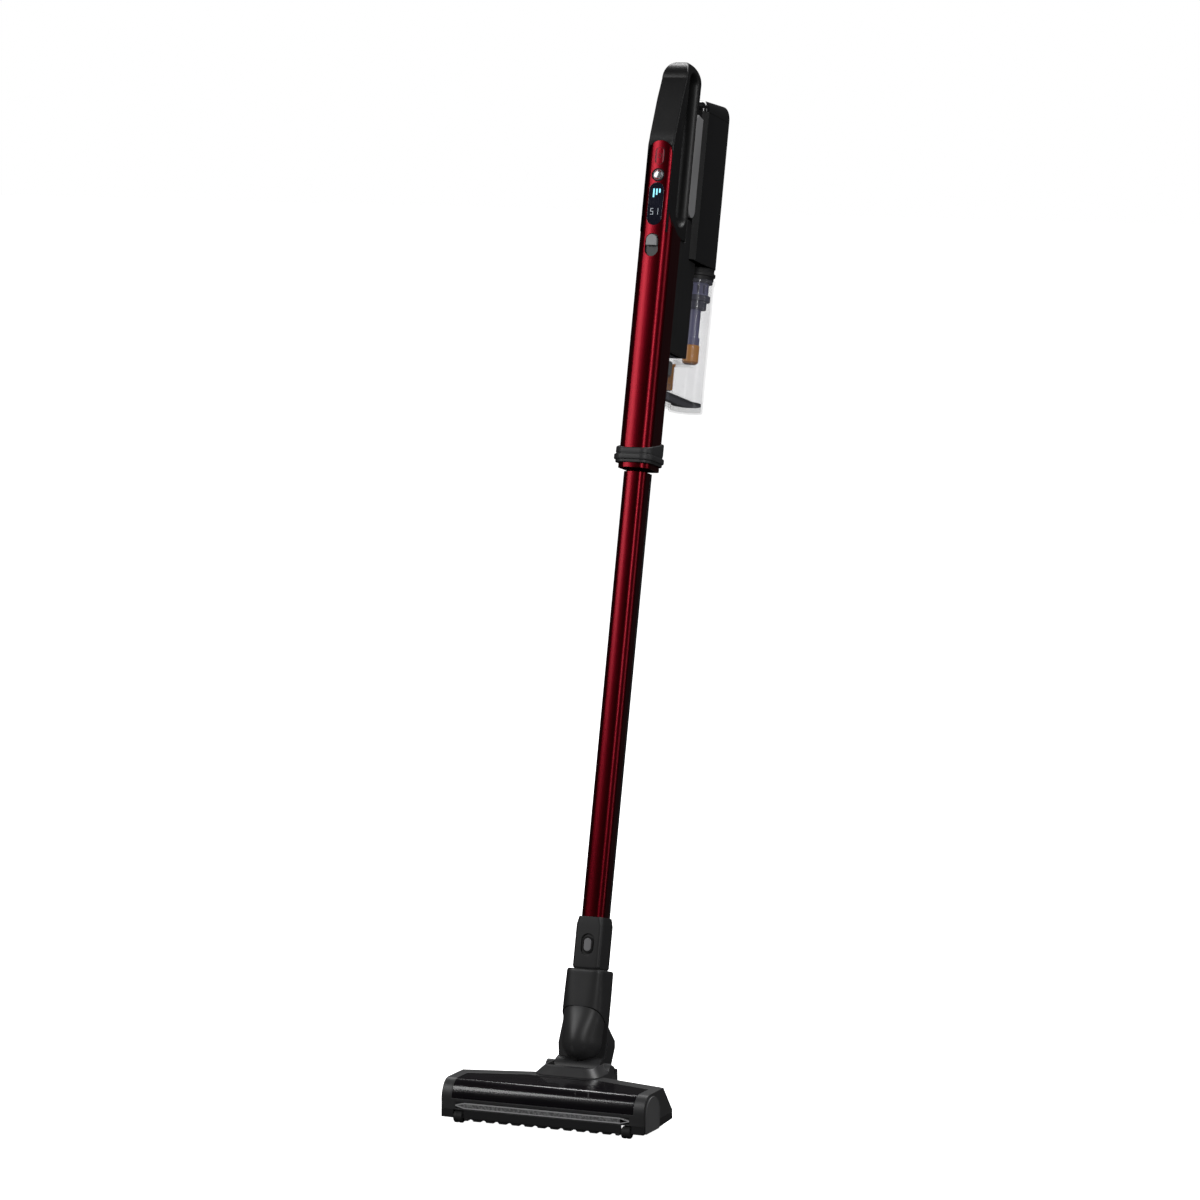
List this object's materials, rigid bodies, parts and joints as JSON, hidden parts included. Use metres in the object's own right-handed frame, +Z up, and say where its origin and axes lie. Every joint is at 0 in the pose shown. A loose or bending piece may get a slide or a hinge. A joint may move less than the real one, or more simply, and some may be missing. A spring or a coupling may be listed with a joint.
{
  "type": "cordless stick vacuum cleaner",
  "caption": "Upright cordless stick vacuum: powered floor head, jointed neck, long pipe, loop handle, rear motor unit and clear dust case.",
  "frame": {"origin": "on the floor, under the middle of the whole object's outline in plan", "axes": "+Z up, -Y towards the front of the floor head, +X to the right of someone facing the front from behind the camera, along the head's width"},
  "size_m": [0.215, 0.4489, 1.0113],
  "materials": {
    "black_matte": "fine-textured black moulded plastic",
    "dark_grey": "satin dark grey moulded plastic",
    "gloss_black": "polished black plastic",
    "smoked_clear": "smoked transparent plastic",
    "lamp_lens": "frosted light-grey lens",
    "inner_plastic": "unpainted grey plastic",
    "steel": "zinc-plated steel",
    "belt_rubber": "black rubber",
    "wheel_rubber": "dark grey soft rubber",
    "red_bristles": "red nylon bristles",
    "black_bristles": "black nylon bristles",
    "brass_gear": "sintered brass",
    "red_anodised": "wine-red anodised aluminium",
    "copper": "bare copper strip",
    "display_glass": "dark display cover",
    "light_grey": "light grey satin plastic",
    "mode_chrome": "polished ring round a pale button",
    "mid_grey": "mid grey satin plastic",
    "circuit_green": "solder-masked circuit board",
    "cell_sleeve": "shrink-sleeved battery cells",
    "clear_case": "clear, slightly violet plastic",
    "violet_plastic": "translucent violet-grey plastic",
    "orange_plastic": "translucent orange plastic",
    "duct_grey": "grey-green plastic"
  },
  "bodies": {
    "head": {"head_base": "dark_grey", "head_cover": "black_matte", "head_window": "smoked_clear", "light_strip": "lamp_lens", "front_bumper": "dark_grey", "end_cap_left": "black_matte", "end_cap_right": "black_matte", "neck_saddle": "black_matte", "suction_elbow": "inner_plastic", "brush_motor": "steel", "drive_belt": "belt_rubber", "roller_bearings": "steel", "wheel_axles": "steel", "head_screws": "steel", "pitch_pins": "steel"},
    "brush_roll": {"roller_core": "inner_plastic", "roller_bristles": "red_bristles"},
    "brush_pinion": {"motor_pinion": "brass_gear"},
    "front_wheel_l": {"front_wheel_left": "wheel_rubber"},
    "front_wheel_r": {"front_wheel_right": "wheel_rubber"},
    "rear_wheel_l": {"rear_wheel_left": "wheel_rubber"},
    "rear_wheel_r": {"rear_wheel_right": "wheel_rubber"},
    "neck": {"neck_fork": "dark_grey", "neck_dome": "dark_grey", "swivel_ring": "inner_plastic"},
    "wand": {"neck_housing": "dark_grey", "lower_connector": "dark_grey", "button_spring": "steel", "extension_pipe": "red_anodised", "pipe_cover": "gloss_black", "conductor_strip": "copper", "main_tube": "red_anodised", "control_panel": "red_anodised", "display_window": "display_glass", "switch_plate": "mid_grey", "control_board": "circuit_green", "handle_frame": "black_matte", "frame_spine": "black_matte", "housing_front": "gloss_black", "housing_rear": "gloss_black", "housing_cap": "gloss_black", "battery_cells": "cell_sleeve", "motor_can": "steel", "filter_cap": "gloss_black", "dust_case": "clear_case", "filter_basket": "violet_plastic", "cyclone_core": "violet_plastic", "cyclone_cup": "orange_plastic", "inlet_duct": "duct_grey"},
    "release_button": {"connector_button": "light_grey"},
    "latch_button": {"pipe_latch": "gloss_black"},
    "dust_brush": {"brush_ring": "dark_grey", "brush_bristles": "black_bristles"},
    "power_key": {"power_button": "red_anodised"},
    "mode_key": {"mode_button": "mode_chrome"},
    "switch_knob": {"slide_switch": "light_grey"},
    "fan": {"suction_fan": "light_grey"},
    "case_button": {"case_latch": "gloss_black"},
    "flap": {"inlet_flap": "orange_plastic"},
    "lid": {"case_lid": "clear_case"}
  },
  "joints": [
    {"name": "neck_pitch", "type": "hinge", "parent": "head", "child": "neck", "pos_m": [0, -0.12595, 0.04], "axis": [-1, 0, 0], "range_deg": [-13.8, 68]},
    {"name": "wand_swivel", "type": "hinge", "parent": "neck", "child": "wand", "pos_m": [0, -0.11567, 0.08603], "axis": [0, 0.7859, 0.6184], "range_deg": [-90, 90]},
    {"name": "brush_spin", "type": "hinge", "parent": "head", "child": "brush_roll", "pos_m": [0, -0.19695, 0.019], "axis": [1, 0, 0], "continuous": true},
    {"name": "pinion_spin", "type": "hinge", "parent": "head", "child": "brush_pinion", "pos_m": [-0.088, -0.16295, 0.022], "axis": [1, 0, 0], "continuous": true},
    {"name": "front_left_roll", "type": "hinge", "parent": "head", "child": "front_wheel_l", "pos_m": [-0.088, -0.21794, 0.006], "axis": [1, 0, 0], "continuous": true},
    {"name": "front_right_roll", "type": "hinge", "parent": "head", "child": "front_wheel_r", "pos_m": [0.088, -0.21794, 0.006], "axis": [1, 0, 0], "continuous": true},
    {"name": "rear_left_roll", "type": "hinge", "parent": "head", "child": "rear_wheel_l", "pos_m": [-0.017, -0.11994, 0.009], "axis": [1, 0, 0], "continuous": true},
    {"name": "rear_right_roll", "type": "hinge", "parent": "head", "child": "rear_wheel_r", "pos_m": [0.017, -0.11994, 0.009], "axis": [1, 0, 0], "continuous": true},
    {"name": "release_press", "type": "slide", "parent": "wand", "child": "release_button", "axis": [0, 0.9711, -0.2385], "range_m": [0, 0.002], "stiffness_N_per_m": 400, "springref_m": -0.0005, "deforming": ["button_spring"]},
    {"name": "latch_press", "type": "slide", "parent": "wand", "child": "latch_button", "axis": [0, -0.9711, 0.2385], "range_m": [0, 0.002], "stiffness_N_per_m": 400, "springref_m": -0.0005},
    {"name": "dust_brush_slide", "type": "slide", "parent": "wand", "child": "dust_brush", "axis": [0, -0.2385, -0.9711], "range_m": [0, 0.012]},
    {"name": "power_press", "type": "slide", "parent": "wand", "child": "power_key", "axis": [0, 0.9711, -0.2385], "range_m": [0, 0.001], "stiffness_N_per_m": 400, "springref_m": -0.0003},
    {"name": "mode_press", "type": "slide", "parent": "wand", "child": "mode_key", "axis": [0, 0.9711, -0.2385], "range_m": [0, 0.001], "stiffness_N_per_m": 400, "springref_m": -0.0003},
    {"name": "switch_slide", "type": "slide", "parent": "wand", "child": "switch_knob", "axis": [0, -0.2385, -0.9711], "range_m": [0, 0.007]},
    {"name": "fan_spin", "type": "hinge", "parent": "wand", "child": "fan", "pos_m": [0, 0.17666, 0.82343], "axis": [0, 0.2385, 0.9711], "continuous": true},
    {"name": "case_press", "type": "slide", "parent": "wand", "child": "case_button", "axis": [0, -0.9711, 0.2385], "range_m": [0, 0.0015], "stiffness_N_per_m": 400, "springref_m": -0.0003},
    {"name": "flap_swing", "type": "hinge", "parent": "wand", "child": "flap", "pos_m": [0, 0.08743, 0.71252], "axis": [1, 0, 0], "range_deg": [0, 60], "stiffness_Nm_per_rad": 0.003, "springref_deg": -22.92},
    {"name": "lid_swing", "type": "hinge", "parent": "wand", "child": "lid", "pos_m": [0, 0.05706, 0.68445], "axis": [-1, 0, 0], "range_deg": [0, 80]}
  ],
  "couplings": [
    {"joint": "pinion_spin", "follows": "brush_spin", "ratio": 1.75}
  ]
}
